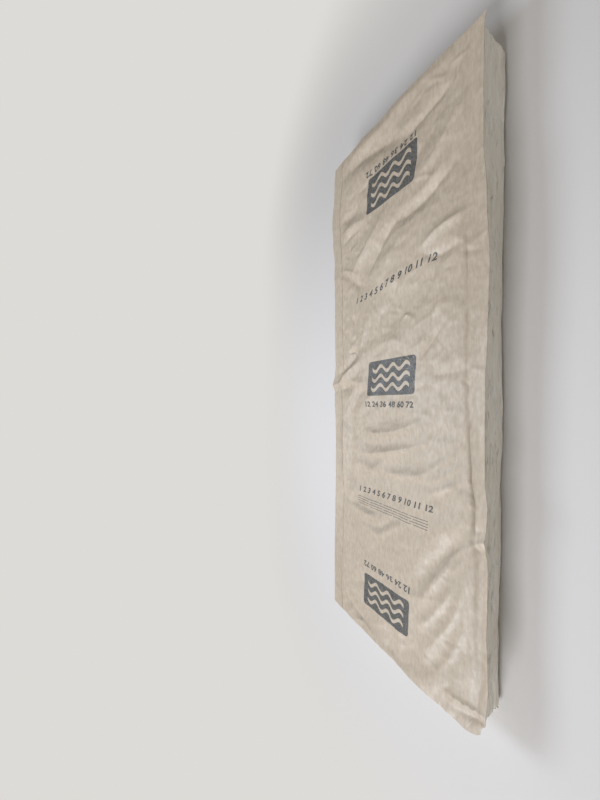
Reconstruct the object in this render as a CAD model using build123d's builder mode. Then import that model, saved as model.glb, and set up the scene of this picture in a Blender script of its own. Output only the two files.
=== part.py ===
# A kraft-faced glass-wool insulation batt for a wall framed at 16 inch centres, lying flat on its
# wool with the paper face up. It is two pieces: the batt of glass wool, and the asphalt-coated kraft
# facing that is stuck over its face and folded back on itself along both long edges. The folded
# edges are the hems that are stapled to the studs. The face has the main folds that handling left in
# it, in the paper and in the wool under it.
#
# The frame: X across the width, Y along the length, Z up through the thickness. The origin is in the
# middle of the wool's back, so the batt rests on Z = 0. Sizes are in millimetres.

from math import sqrt
import os

from build123d import *

# The batt of glass wool
BATT_LENGTH = 1181.1  # half of a 93 inch batt, for a wall that has blocking at mid height
BATT_WIDTH = 381.0  # 15 inches at the face, a friction fit in a 14 1/2 inch bay
BATT_THICKNESS = 88.9  # 3 1/2 inches, the depth of the stud, measured at the long edges
CROWN = 6.0  # how far the middle of the face rises above its long edges
SIDE_DRAW = 4.0  # how far each side draws in from the face to the back, which has no paper to hold it
HEEL_RADIUS = 12.0  # the soft corner along the back

# The kraft facing
FLANGE_REACH = 12.7  # how far the facing runs out past the wool, 1/2 inch on each side
PAPER = 0.4  # the paper with its coat of asphalt
HEM_WIDTH = 35.0  # from the fold back to the hem's free edge
FOLD_GAP = 0.4  # the air inside the fold, between the two layers of the hem
HEM_LIFT = 1.0  # the air under the hem's free edge, which springs up

# The main folds of the face
FOLD_HEIGHT = 6.0  # from the face up to a full ridge's crest, or down to a full groove's bottom
FOLD_WIDTH = 42.0  # across a full fold at the face, from foot to foot
RIDGE_ROOT = 1.5  # how far a ridge's solid runs on below the face
GROOVE_CLEARANCE = 9.0  # how far the air that cuts a groove runs on above the face
SHOULDER = 0.35  # the share of a fold's half length, from its middle, that has its full height

# Each fold runs from one place to another, given as shares of the way from the middle to a hem and
# from the middle to an end. Then come its height and its width, as shares of a full fold's.
RIDGES = [
    ((-0.90, 0.958), (-0.05, 0.949), 0.70, 0.80),  # along the top end, where the sheet was tucked up
    ((0.04, 0.948), (0.84, 0.956), 0.70, 0.80),
    ((-0.96, 0.684), (-0.30, 0.670), 0.75, 0.90),
    ((0.43, 0.684), (0.94, 0.810), 0.75, 0.85),
    ((0.01, 0.681), (-0.62, 0.513), 1.00, 1.05),  # the long slanting fold
    ((0.37, 0.552), (-0.20, 0.400), 0.60, 1.00),
    ((0.50, 0.457), (0.96, 0.498), 1.00, 0.85),
    ((-0.96, 0.041), (-0.58, 0.122), 1.00, 0.65),  # drawn in from a pinch at the left hem
    ((-0.88, -0.068), (-0.89, -0.437), 0.60, 0.70),  # the swell beside the left hem
    ((-0.71, -0.512), (-0.24, -0.502), 0.70, 0.65),
    ((-0.39, -0.569), (0.37, -0.450), 0.60, 0.65),
    ((0.94, -0.494), (0.50, -0.701), 0.90, 0.65),  # two of the fan from a staple at the right hem
    ((0.94, -0.680), (0.57, -0.900), 0.65, 0.65),
]
GROOVES = [
    ((-0.96, 0.938), (0.31, 0.852), 1.15, 1.05),  # under the tucked top end
    ((0.13, 0.603), (-0.49, 0.417), 1.15, 1.00),
    ((0.25, 0.590), (0.90, 0.654), 0.75, 0.85),
    ((-0.92, 0.511), (-0.56, 0.432), 0.75, 0.90),
    ((0.86, -0.455), (0.36, -0.665), 0.90, 0.80),
    ((-0.06, -0.870), (0.07, -0.965), 0.65, 0.80),
]

# Worked out from the sizes above
half_length = BATT_LENGTH / 2
half_width = BATT_WIDTH / 2
crown_top = BATT_THICKNESS + CROWN
crown_radius = (half_width**2 + CROWN**2) / (2 * CROWN)
half_facing = half_width + FLANGE_REACH
fold_radius = PAPER + FOLD_GAP / 2
fold_centre = half_facing - fold_radius
fold_top = BATT_THICKNESS + 2 * fold_radius
hem_edge = half_facing - HEM_WIDTH


def face_height(x):
    """How high the wool's crowned face is at a distance from the middle."""
    return crown_top - crown_radius + sqrt(crown_radius**2 - x**2)


hem_edge_top = face_height(hem_edge) + PAPER + HEM_LIFT + PAPER


def fold_solid(start, end, height, width, is_ridge, skins):
    """One fold as paper makes it, in flat facets: a crest that runs down to a point at each end.

    It is either a ridge that stands on the wool or the air that cuts a groove into the paper. Skins
    says how many thicknesses of paper its facets lie further out than that.
    """
    level = 0 if is_ridge else PAPER
    first, last = (
        Vector(across * hem_edge, along * half_length, face_height(across * hem_edge) + level)
        for across, along in (start, end)
    )
    middle = (first + last) / 2
    swell = face_height(middle.X) + level - middle.Z  # the face's rise over a straight line between the ends
    rise = height * FOLD_HEIGHT + (swell if is_ridge else -swell)
    slope = rise / (width * FOLD_WIDTH / 2)
    out = skins * PAPER * sqrt(1 + slope**2)
    root = RIDGE_ROOT if is_ridge else GROOVE_CLEARANCE

    half_run = (last - first).length / 2
    shoulder = SHOULDER * half_run
    tip = shoulder + (half_run - shoulder) * (rise + root) / rise
    foot = (rise + root) / slope
    near_tip = Vector(-tip, 0, out - root)
    near_right = Vector(-shoulder, -foot, out - root)
    far_right = Vector(shoulder, -foot, out - root)
    far_tip = Vector(tip, 0, out - root)
    far_left = Vector(shoulder, foot, out - root)
    near_left = Vector(-shoulder, foot, out - root)
    near_crest = Vector(-shoulder, 0, out + rise)
    far_crest = Vector(shoulder, 0, out + rise)
    facets = [
        (near_left, far_left, far_tip, far_right, near_right, near_tip),
        (near_tip, near_right, near_crest),
        (near_right, far_right, far_crest, near_crest),
        (far_right, far_tip, far_crest),
        (far_tip, far_left, far_crest),
        (far_left, near_left, near_crest, far_crest),
        (near_left, near_tip, near_crest),
    ]
    folded = Solid(Shell([Face(Wire.make_polygon(corners)) for corners in facets]))

    along = last - first
    upward = along.cross(Vector(0, 0, 1).cross(along))
    return Plane(origin=middle, x_dir=along, z_dir=upward if is_ridge else -upward) * folded


# The glass wool: a slab with a crowned face, sides that draw in towards the back and a soft heel along
# it, cut square at both ends. It rises in the ridges of the face and sinks in the grooves.
with BuildPart() as glass_wool_batt:
    with BuildSketch(Plane.XZ) as wool_section:
        with BuildLine():
            crown = ThreePointArc((-half_width, BATT_THICKNESS), (0, crown_top), (half_width, BATT_THICKNESS))
            side = TangentArc(crown @ 1, (half_width - SIDE_DRAW, 0), tangent=(0, -1))
            mirror(side, about=Plane.YZ)
            Line((SIDE_DRAW - half_width, 0), side @ 1)
        make_face()
        fillet(wool_section.vertices().group_by(Axis.Y)[0], HEEL_RADIUS)
    smooth_slab = extrude(amount=half_length, both=True)
    for ridge in RIDGES:
        add(fold_solid(*ridge, is_ridge=True, skins=0))
    for groove in GROOVES:
        add(fold_solid(*groove, is_ridge=False, skins=1), mode=Mode.SUBTRACT)
glass_wool_batt.part.label = "glass_wool_batt"


# The facing: one sheet that follows the crowned face, runs out flat past the wool as a flange, turns
# back at the fold and returns over the flange as the hem, with its free edge sprung up a little.
# The line is the sheet's outer surface, and the paper's thickness is laid on its inner side. The folds
# are put into the slab and its sheet together, a paper's thickness further out than the wool's own,
# and the wool is then taken away.
with BuildPart() as kraft_facing:
    with BuildSketch(Plane.XZ):
        with BuildLine():
            face = ThreePointArc((-half_width, BATT_THICKNESS), (0, crown_top), (half_width, BATT_THICKNESS))
            flange = Line(face @ 1, (fold_centre, BATT_THICKNESS))
            fold = TangentArc(flange @ 1, (fold_centre, fold_top), tangent=flange % 1)
            hem = TangentArc(fold @ 1, (hem_edge, hem_edge_top), tangent=fold % 1)
            mirror([flange, fold, hem], about=Plane.YZ)
            offset(amount=PAPER, side=Side.LEFT)
        make_face()
    extrude(amount=half_length, both=True)
    add(smooth_slab)
    for ridge in RIDGES:
        add(fold_solid(*ridge, is_ridge=True, skins=1))
    for groove in GROOVES:
        add(fold_solid(*groove, is_ridge=False, skins=0), mode=Mode.SUBTRACT)
    add(glass_wool_batt.part, mode=Mode.SUBTRACT)
kraft_facing.part.label = "kraft_facing"


os.makedirs("parts", exist_ok=True)
export_step(glass_wool_batt.part, "parts/glass_wool_batt.step")
export_step(kraft_facing.part, "parts/kraft_facing.step")

for piece in (glass_wool_batt, kraft_facing):
    size = piece.part.bounding_box().size
    print(f"{piece.part.label}: {size.X:.1f} x {size.Y:.1f} x {size.Z:.1f} mm, {piece.part.volume:.0f} mm3")
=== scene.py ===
# %% [markdown]
# # A kraft-faced insulation batt
#
# This lesson dresses one piece of wall insulation: a slab of white glass wool with a sheet of brown
# kraft paper stuck over its face. The slab and the paper exist already as plain, exact solids. Here
# they get what the eye looks for: paper that has been printed, creased and handled, and wool that
# shows the layers of fibre it was made from.
#
# The paper is the piece that people see, so most of the work goes into its folds. They are real
# geometry, because a fold that is only painted on gives itself away as soon as the light moves.

# %% Load the frame and note its size
import math

import bmesh
import bpy
import numpy as np
from mathutils import Matrix, Vector
from mathutils.bvhtree import BVHTree
from mathutils.geometry import delaunay_2d_cdt


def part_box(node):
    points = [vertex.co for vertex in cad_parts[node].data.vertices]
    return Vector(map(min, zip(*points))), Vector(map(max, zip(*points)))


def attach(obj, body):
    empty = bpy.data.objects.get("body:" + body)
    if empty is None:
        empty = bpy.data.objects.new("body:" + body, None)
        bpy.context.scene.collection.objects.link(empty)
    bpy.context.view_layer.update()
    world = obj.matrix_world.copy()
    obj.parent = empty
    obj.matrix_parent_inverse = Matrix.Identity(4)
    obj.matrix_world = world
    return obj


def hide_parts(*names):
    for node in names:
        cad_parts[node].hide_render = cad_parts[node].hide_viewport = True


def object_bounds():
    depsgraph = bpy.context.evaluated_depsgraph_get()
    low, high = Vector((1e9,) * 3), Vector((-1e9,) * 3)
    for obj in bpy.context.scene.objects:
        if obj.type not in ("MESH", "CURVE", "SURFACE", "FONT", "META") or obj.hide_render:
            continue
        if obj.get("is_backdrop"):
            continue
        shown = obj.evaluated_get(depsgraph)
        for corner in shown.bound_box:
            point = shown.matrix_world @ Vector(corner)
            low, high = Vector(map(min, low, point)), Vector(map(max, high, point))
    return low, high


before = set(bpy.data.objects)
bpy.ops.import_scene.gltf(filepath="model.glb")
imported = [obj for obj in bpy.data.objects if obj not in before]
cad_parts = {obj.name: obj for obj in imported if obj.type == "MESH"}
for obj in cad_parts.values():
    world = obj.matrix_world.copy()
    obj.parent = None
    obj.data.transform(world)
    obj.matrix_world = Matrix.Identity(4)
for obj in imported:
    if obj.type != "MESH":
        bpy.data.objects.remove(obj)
cad_low, cad_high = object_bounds()
MM = 0.001

wool_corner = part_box("glass_wool_batt")[1] / MM
paper_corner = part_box("kraft_facing")[1] / MM
HALF_LENGTH = wool_corner.y
HALF_WOOL = wool_corner.x
HALF_PAPER = paper_corner.x
FACE_Z = 88.9  # the face at the long edges; the solids go above and below it with their folds
CROWN = 6.0  # how far the middle of the face rises above that
print(f"wool {2 * HALF_WOOL:.1f} mm wide, paper {2 * HALF_PAPER:.1f} mm, {2 * HALF_LENGTH:.1f} mm long")

# %% [markdown]
# ## How a sheet of paper wrinkles
#
# Paper bends easily and hardly stretches, so when it is pushed about it doesn't dent like clay. It
# breaks into flat patches that meet at creases, and it throws long folds away from any point where
# it is held. Three kinds of wrinkle cover what such a facing shows:
#
# 1. Folds that were put there by handling. Each is a line on the sheet with a height, a width and a
#    crispness. These are listed one by one, because they are what makes this sheet this sheet.
# 2. Flat patches. Random points joined into triangles give exactly that: plane pieces and creases.
# 3. Loose short creases, scattered at random from a fixed seed.
#
# All of them add up to one function, the height of the face above its smooth crown at any point. The
# paper and the wool under it both ask that function, so they can't part.

# %% An easy step and soft noise
LATTICE = 128  # random numbers each way before the noise repeats


def smooth(low, high, value):
    """0 below low, 1 above high, and an easy curve between them."""
    t = np.clip((value - low) / (high - low), 0.0, 1.0)
    return t * t * (3 - 2 * t)


def soft_noise(p, q, seed):
    """Smooth random heights from -1 to 1: random numbers on a square lattice, blended between."""
    lattice = np.random.default_rng(seed).uniform(-1, 1, (LATTICE, LATTICE))
    i, j = np.floor(p).astype(int), np.floor(q).astype(int)
    s, t = smooth(0, 1, p - i), smooth(0, 1, q - j)
    near, far = i % LATTICE, (i + 1) % LATTICE
    low, high = j % LATTICE, (j + 1) % LATTICE
    bottom = lattice[near, low] * (1 - s) + lattice[far, low] * s
    top = lattice[near, high] * (1 - s) + lattice[far, high] * s
    return bottom * (1 - t) + top * t


steps = np.arange(0, 50, 0.3)
sample = soft_noise(steps, steps * 0, 1)
print(f"soft noise goes from {sample.min():.2f} to {sample.max():.2f}")

# %% A smooth line through a few points
def rounded(points, steps=5):
    """The points of a drawn line with a smooth curve through them."""
    p = np.array([points[0], *points, points[-1]], float)
    line = []
    for a, b, c, d in zip(p, p[1:], p[2:], p[3:]):
        for t in np.arange(steps) / steps:
            bend = (2 * a - 5 * b + 4 * c - d) * t**2
            line.append(0.5 * (2 * b + (c - a) * t + bend + (3 * b - a - 3 * c + d) * t**3))
    return np.array([*line, p[-1]])


example = rounded([(0, 0), (30, 10), (60, 0)])
print(f"a line of 3 points becomes one of {len(example)}")

# %% One fold, along a given line
CREASE_TIP = 1.2  # mm, the radius that a crisp crease keeps at its top
CREASE_SHARE = 0.55  # a crisp crease dies away over this share of the fold's width
FOLD_REACH = 3.2  # beyond this many widths a fold has no height left to add
FADE = 0.35  # a fold rises to its full height over this share of its length at each end
END_SHARE = 0.25  # and this share of the height is there at its very ends


def fold(x, y, line, height, width, crisp):
    """The height of one fold: a ridge along the line, or a groove if the height is negative."""
    reach = FOLD_REACH * width
    inside = (x > line[:, 0].min() - reach) & (x < line[:, 0].max() + reach)
    inside &= (y > line[:, 1].min() - reach) & (y < line[:, 1].max() + reach)
    out = np.zeros_like(x)
    px, py = x[inside], y[inside]
    if px.size == 0:
        return out
    nearest = np.full(px.shape, 1e9)
    along = np.zeros(px.shape)
    spans = len(line) - 1
    for k, (start, end) in enumerate(zip(line, line[1:])):
        run = end - start
        t = np.clip(((px - start[0]) * run[0] + (py - start[1]) * run[1]) / (run @ run), 0, 1)
        away = np.hypot(px - start[0] - t * run[0], py - start[1] - t * run[1])
        closer = away < nearest
        nearest = np.where(closer, away, nearest)
        along = np.where(closer, (k + t) / spans, along)
    soft = np.exp(-((nearest / width) ** 2))
    sharp = np.exp(-(np.hypot(nearest, CREASE_TIP) - CREASE_TIP) / (CREASE_SHARE * width))
    ends = END_SHARE + (1 - END_SHARE) * smooth(0, FADE, along) * smooth(0, FADE, 1 - along)
    out[inside] = height * ends * ((1 - crisp) * soft + crisp * sharp)
    return out


profile = fold(np.array([0.0, 10, 20]), np.zeros(3), np.array([(0.0, -50), (0, 50)]), 3.0, 12, 0.5)
print("a fold 3 mm high, at its crest and 10 and 20 mm beside it:", *profile.round(1), "mm")

# %% Flat patches that meet at creases
PATCH_REACH = 660  # mm from the middle, so that turned patches still cover the sheet's corners
JITTER = 0.45  # how far each point strays, as a share of the spacing
ABOVE = 99  # mm, higher than any wrinkle


def patches(spacing, height, seed, turn=0.0, stretch=1.0):
    """A crumpled surface: jittered points at random heights, joined by flat triangles.

    The triangles are drawn out by stretch, along a line turned by turn radians from X.
    """
    rng = np.random.default_rng(seed)
    ticks = np.arange(-PATCH_REACH - spacing, PATCH_REACH + 2 * spacing, spacing)
    even = np.stack([axis.ravel() for axis in np.meshgrid(ticks, ticks)], 1)
    flat = even + rng.uniform(-JITTER, JITTER, even.shape) * spacing
    heights = rng.uniform(-height, height, len(even))
    verts, _, faces, origins, _, _ = delaunay_2d_cdt([Vector(p) for p in flat], [], [], 0, 1e-4)
    tree = BVHTree.FromPolygons([(v.x, v.y, heights[o[0]]) for v, o in zip(verts, origins)], faces)
    cosine, sine = math.cos(turn), math.sin(turn)
    down = Vector((0, 0, -1))

    def lookup(x, y):
        """The height of the crumpled surface at points x, y."""
        u, v = (x * cosine + y * sine) / stretch, y * cosine - x * sine
        hits = [tree.ray_cast(Vector((a, b, ABOVE)), down)[0] for a, b in zip(u.flat, v.flat)]
        return np.array([h.z if h else 0.0 for h in hits]).reshape(x.shape)

    return lookup


crumpled = patches(60, 2.0, 1)(np.linspace(-100, 100, 50), np.zeros(50))
print(f"across patches of 60 mm the surface goes from {crumpled.min():.1f} to {crumpled.max():.1f} mm")

# %% [markdown]
# ## Colours and nodes
#
# A colour is written the way a paint programme shows it, as an sRGB code, and Blender reckons with
# light, so one function turns the code into linear values. Every material below is a small tree of
# nodes. One helper adds a node, sets it and links it in a single line. Patterns are sized in
# millimetres of the real thing, which a second helper turns into coordinates.

# %% Colours and a helper for nodes
def linear(code):
    """An sRGB colour such as B5A58C as the linear red, green, blue and alpha that Blender takes."""
    parts = [int(code[k:k + 2], 16) / 255 for k in (0, 2, 4)]
    return (*[c / 12.92 if c <= 0.04045 else ((c + 0.055) / 1.055) ** 2.4 for c in parts], 1.0)


def add(tree, kind, settings=None, **links):
    """Adds a node with its settings, and links or sets its inputs, by name or by number as i0, i1."""
    node = tree.nodes.new(kind)
    for name, value in (settings or {}).items():
        setattr(node, name, value)
    for name, value in links.items():
        by_number = name[0] == "i" and name[1:].isdigit()
        socket = node.inputs[int(name[1:]) if by_number else name.replace("_", " ")]
        if isinstance(value, bpy.types.NodeSocket):
            tree.links.new(value, socket)
        else:
            socket.default_value = value
    return node


def new_material(name):
    """A material with an empty tree of nodes, and the tree."""
    material = bpy.data.materials.new(name)
    material.use_nodes = True
    material.node_tree.nodes.clear()
    return material, material.node_tree


def scaled(tree, size, along=1.0, across=1.0):
    """Object coordinates counted in a pattern's own size in mm, drawn out along Y or across, along X."""
    place = add(tree, "ShaderNodeTexCoord")
    return add(tree, "ShaderNodeMapping", Vector=place.outputs["Object"],
               Scale=(1 / (size * MM * across), 1 / (size * MM * along), 1 / (size * MM))).outputs[0]


print("half grey, 808080, is", round(linear("808080")[0], 3), "in linear light")

# %% [markdown]
# ## The folds of this sheet
#
# The list goes down the sheet from its top end. X runs across and Y along, from the middle of the
# face. Ridges are positive and grooves negative. A long soft groove next to a ridge reads as one
# rolling fold, and a narrow crisp one reads as a crease that was pressed in.

# %% The folds, listed one by one
# line of points (x, y) in mm, height in mm, width in mm, crispness from 0 to 1
FOLDS = [
    # along the top end, where the sheet was tucked up and pressed
    ([(-150, 549), (-60, 541), (0, 527), (48, 504)], -5.0, 17, 0.35),
    ([(48, 504), (95, 515), (145, 531)], -3.2, 10, 0.7),
    ([(-165, 577), (-40, 571), (60, 578), (150, 571)], 3.5, 16, 0.2),
    ([(95, 568), (115, 556), (136, 543)], 1.3, 4, 1.0),
    ([(140, 560), (172, 556)], 1.1, 4, 1.0),
    ([(60, 552), (88, 560)], 0.8, 4, 1.0),
    ([(-185, 500), (-120, 516), (-40, 500)], 2.2, 26, 0.1),
    # the shoulder beside the upper print and the long diagonal folds below it
    ([(-170, 404), (-110, 401), (-55, 396)], 3.2, 15, 0.3),
    ([(-170, 438), (-90, 429)], -2.0, 13, 0.3),
    ([(72, 404), (112, 428), (160, 480)], 3.2, 13, 0.5),
    ([(45, 430), (90, 462), (135, 508)], -2.6, 16, 0.3),
    ([(66, 407), (92, 398), (112, 383)], 1.3, 4, 1.0),
    ([(2, 402), (-38, 357), (-88, 313), (-122, 286)], 4.2, 17, 0.4),
    ([(22, 352), (-14, 331), (-46, 292), (-78, 250)], -5.0, 13, 0.5),
    ([(62, 326), (10, 291), (-34, 236)], 2.6, 18, 0.2),
    ([(8, 350), (60, 350), (102, 364), (152, 388)], -3.2, 11, 0.5),
    ([(30, 372), (78, 376), (128, 398)], 2.0, 12, 0.4),
    ([(84, 270), (128, 287), (178, 298)], 4.2, 12, 0.7),
    ([(80, 262), (112, 242), (172, 246)], -2.2, 9, 0.5),
    ([(-166, 311), (-132, 298), (-96, 276)], 2.0, 6, 1.0),
    ([(-152, 300), (-112, 262), (-84, 247)], -3.2, 13, 0.4),
    ([(-158, 372), (-112, 387)], -1.7, 9, 0.6),
    ([(-98, 322), (-66, 339)], -1.6, 9, 0.6),
    ([(-150, 336), (-130, 324)], 1.1, 4, 1.0),
    ([(-120, 345), (-96, 352)], 0.9, 4, 1.0),
    # the quiet stretch in the middle
    ([(-118, 190), (-104, 130)], -1.5, 12, 0.4),
    ([(-60, 170), (-82, 120), (-88, 100)], 1.6, 11, 0.4),
    ([(-14, 176), (-40, 128)], -1.5, 10, 0.4),
    ([(36, 139), (50, 148), (66, 135)], 1.4, 5, 1.0),
    ([(42, 150), (24, 172)], 0.9, 5, 0.9),
    ([(78, 54), (102, 84), (126, 112)], -1.9, 9, 0.5),
    ([(104, 128), (122, 152), (130, 182)], 1.2, 8, 0.5),
    ([(-40, 92), (10, 104), (40, 90)], 1.8, 14, 0.3),
    # the pull from the pinch in the left edge
    ([(-207, 13), (-168, 20), (-146, 38), (-99, 66)], 5.0, 12, 0.5),
    ([(-205, 36), (-160, 50), (-118, 76), (-100, 92)], -3.6, 13, 0.4),
    ([(-136, 93), (-114, 93), (-98, 80)], -2.0, 6, 0.8),
    ([(-200, 0), (-160, 2), (-120, 14)], -2.4, 12, 0.4),
    ([(-150, 30), (-100, 16), (-74, 14)], 1.8, 12, 0.4),
    # buckles across the sheet below the middle print
    ([(-84, -103), (-30, -100), (30, -88), (84, -62)], 1.7, 9, 0.5),
    ([(-60, -76), (10, -68), (60, -44)], -0.9, 11, 0.3),
    ([(-118, -150), (-62, -152), (0, -138), (56, -122), (104, -100)], 1.8, 9, 0.5),
    ([(-96, -128), (-30, -127), (30, -108)], -0.8, 10, 0.3),
    ([(-24, -186), (30, -181), (82, -172), (128, -150)], 1.7, 9, 0.5),
    ([(-40, -164), (30, -160), (92, -146)], -0.8, 11, 0.3),
    ([(-136, -196), (-86, -180), (-40, -186)], 1.3, 12, 0.3),
    ([(-70, -216), (-34, -176), (18, -150)], 1.2, 11, 0.4),
    ([(-128, -60), (-98, -16), (-60, 8)], -1.6, 13, 0.4),
    ([(-108, -76), (-70, -30), (-30, -10)], 1.2, 12, 0.3),
    ([(96, -205), (128, -186), (160, -166)], 1.4, 7, 0.7),
    ([(100, -180), (134, -158), (164, -136)], 1.1, 7, 0.7),
    ([(104, -156), (134, -132), (160, -106)], 1.0, 8, 0.6),
    ([(84, -130), (104, -104), (112, -70)], -0.9, 8, 0.5),
    # the long swell beside the left hem, and the trough inside it
    ([(-160, -36), (-157, -120), (-160, -210), (-166, -262)], 2.6, 13, 0.2),
    ([(-130, -44), (-124, -120), (-128, -190), (-146, -240)], -1.7, 15, 0.2),
    # two curved folds by the fine rules, and the fan that spreads from the pinch in the right hem
    ([(-124, -292), (-74, -296), (-26, -292)], 2.2, 9, 0.5),
    ([(-118, -281), (-70, -283), (-20, -281)], -1.4, 7, 0.5),
    ([(-92, -327), (-32, -331), (2, -310), (28, -290), (62, -268)], 2.0, 10, 0.4),
    ([(-84, -315), (-36, -319), (-8, -300), (16, -281), (44, -262)], -1.8, 8, 0.5),
    ([(-150, -262), (-160, -296), (-176, -334)], -1.8, 13, 0.3),
    ([(168, -258), (112, -328), (68, -404)], -3.8, 17, 0.3),
    ([(174, -272), (126, -342), (84, -414)], 3.8, 11, 0.5),
    ([(175, -282), (140, -376), (98, -446), (74, -470)], 2.5, 9, 0.5),
    ([(176, -290), (156, -392), (122, -462), (90, -512)], 2.5, 10, 0.5),
    ([(177, -300), (168, -412), (140, -492), (104, -552)], 2.4, 10, 0.5),
    ([(-10, -520), (10, -560), (14, -588)], -3.0, 12, 0.5),
    ([(30, -506), (26, -548)], 2.0, 12, 0.4),
    ([(-140, -540), (-96, -562), (-50, -572)], -2.4, 10, 0.6),
    ([(-106, -576), (-78, -568), (-48, -578)], 3.0, 7, 0.8),
    ([(-176, -420), (-166, -500), (-178, -560)], 1.6, 14, 0.3),
]
hand_folds = [(rounded(points), height, width, crisp) for points, height, width, crisp in FOLDS]
print(f"{len(hand_folds)} folds on the face put in by hand")

# %% The creases that run into the hems
# in the same form, where the hem was held down and the paper puckered
EDGE_FOLDS = [
    ([(178, -270), (190, -259), (200, -253), (213, -249)], 3.0, 4.5, 0.9),
    ([(182, -244), (196, -238), (210, -236)], -1.6, 6, 0.4),
    ([(176, -266), (160, -286), (136, -314)], 2.6, 4.5, 0.9),
    ([(174, -272), (162, -304), (146, -334)], 2.0, 4.5, 0.9),
    ([(178, -278), (171, -330), (160, -384)], 1.5, 4.5, 0.8),
    ([(186, -276), (198, -268), (212, -264)], -2.0, 5, 0.5),
    ([(170, -158), (184, -167)], 1.3, 4, 1.0),
    ([(170, -177), (186, -182)], -1.3, 4, 0.8),
    ([(172, -196), (190, -204)], 0.9, 4, 0.8),
    ([(165, 10), (177, 1)], -1.1, 4, 1.0),
    ([(172, 36), (190, 28), (204, 30)], 0.9, 6, 0.5),
    ([(170, 264), (171, 230), (170, 196)], -1.1, 4.5, 0.7),
    ([(146, 264), (164, 247), (177, 231)], 1.3, 6, 0.6),
    ([(176, 236), (192, 243), (206, 250)], 1.4, 6, 0.7),
    ([(158, 232), (176, 225), (202, 221)], -1.3, 6, 0.5),
    ([(182, 372), (190, 379), (199, 385)], 1.3, 5, 0.7),
    ([(176, 470), (198, 476)], 0.8, 8, 0.4),
    ([(178, 130), (204, 120)], 0.8, 9, 0.4),
    ([(132, -553), (168, -547), (208, -539)], 3.2, 6, 0.9),
    ([(150, -570), (206, -553)], -2.0, 7, 0.4),
    ([(-213, 9), (-192, 15), (-166, 22)], 1.8, 5, 0.7),
    ([(-210, -6), (-186, -4)], -1.2, 6, 0.4),
    ([(-209, 300), (-184, 296)], 0.9, 7, 0.5),
    ([(-213, 440), (-186, 432), (-160, 440)], 1.0, 8, 0.4),
    ([(-206, -250), (-180, -240), (-166, -252)], 1.1, 6, 0.5),
    ([(-206, -430), (-178, -440)], 0.9, 9, 0.4),
]
edge_folds = [(rounded(points), height, width, crisp) for points, height, width, crisp in EDGE_FOLDS]
print(f"{len(edge_folds)} more by the hems")

# %% [markdown]
# ## Random creases and the height of the face
#
# The short creases lie every way but favour the sheet's width, as they do when a long sheet is bent
# over and let go again. Near the long edges the paper is held down, so every wrinkle fades there.

# %% Loose creases and flat patches
LOOSE_CREASES = 300
loose = []
rng = np.random.default_rng(41)
for _ in range(LOOSE_CREASES):
    middle = rng.uniform((-180, -585), (180, 585))
    turn = rng.normal(0.15, 0.75)
    half_run = rng.uniform(7, 34) * np.array([math.cos(turn), math.sin(turn)])
    bow = rng.normal(0, 0.16, 2) * half_run[::-1]
    height = rng.choice((-1, 1)) * rng.uniform(0.3, 1.05)
    loose.append((rounded([middle - half_run, middle + bow, middle + half_run], 3),
                  height, rng.uniform(3.5, 8), rng.uniform(0.4, 1.0)))

upper_patches = patches(64, 2.6, 3, turn=0.75, stretch=1.6)
lower_patches = patches(60, 2.3, 6, turn=0.5, stretch=1.7)
middle_patches = patches(30, 1.8, 4, turn=0.7, stretch=1.3)
small_patches = patches(14, 0.62, 5)
fine_patches = patches(7.5, 0.19, 8)
print(f"{len(loose)} loose creases, and patches of five sizes")

# %% The height of the face at any point
FOLD_GAIN = 1.5  # the listed folds are raised by this, as light from a soft lamp flattens them
MIDDLE_GAIN = 1.5  # and by this again between these two places, where the sheet lies squarest to the eye
MIDDLE_FROM, MIDDLE_TO = -235, 215
CALM_AT, CALM_SIZE, CALM = (-40, -385), (95, 85), 0.6  # a patch low on the sheet, drawn nearly flat
HELD_FROM, HELD_TO, HELD = 140, 186, 0.72  # by the long edges this share of each wrinkle is gone
CROWN_POWER = 2.6  # 2 would be an arc; more keeps the middle flatter


def face_relief(x, y):
    """How far the face stands above its smooth crown, in mm, at points x, y in mm."""
    upper = smooth(-80, 80, y)
    rumpled = (upper_patches(x, y) * upper + lower_patches(x, y) * (1 - upper)
               + middle_patches(x, y) + small_patches(x, y))
    drawn_flat = np.exp(-(((x - CALM_AT[0]) / CALM_SIZE[0]) ** 2) - ((y - CALM_AT[1]) / CALM_SIZE[1]) ** 2)
    total = rumpled * (1 - CALM * drawn_flat) + fine_patches(x, y)
    for line, height, width, crisp in hand_folds:
        in_middle = MIDDLE_FROM < line[:, 1].mean() < MIDDLE_TO
        gain = FOLD_GAIN * (MIDDLE_GAIN if in_middle else 1)
        total += fold(x, y, line, gain * height, width, crisp)
    for line, height, width, crisp in loose:
        total += fold(x, y, line, height, width, crisp)
    total *= 1 - HELD * smooth(HELD_FROM, HELD_TO, np.abs(x))
    for line, height, width, crisp in edge_folds:
        total += fold(x, y, line, height, width, crisp)
    return total


def crown_height(x):
    """The smooth face: flat along both edges, full in the middle, like a well-filled pillow."""
    return CROWN * (1 - np.minimum(np.abs(x) / HALF_WOOL, 1) ** CROWN_POWER)


line_down = face_relief(np.zeros(200), np.linspace(-HALF_LENGTH, HALF_LENGTH, 200))
print(f"down the middle the face lies {line_down.min():.1f} to {line_down.max():.1f} mm off its crown")

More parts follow.
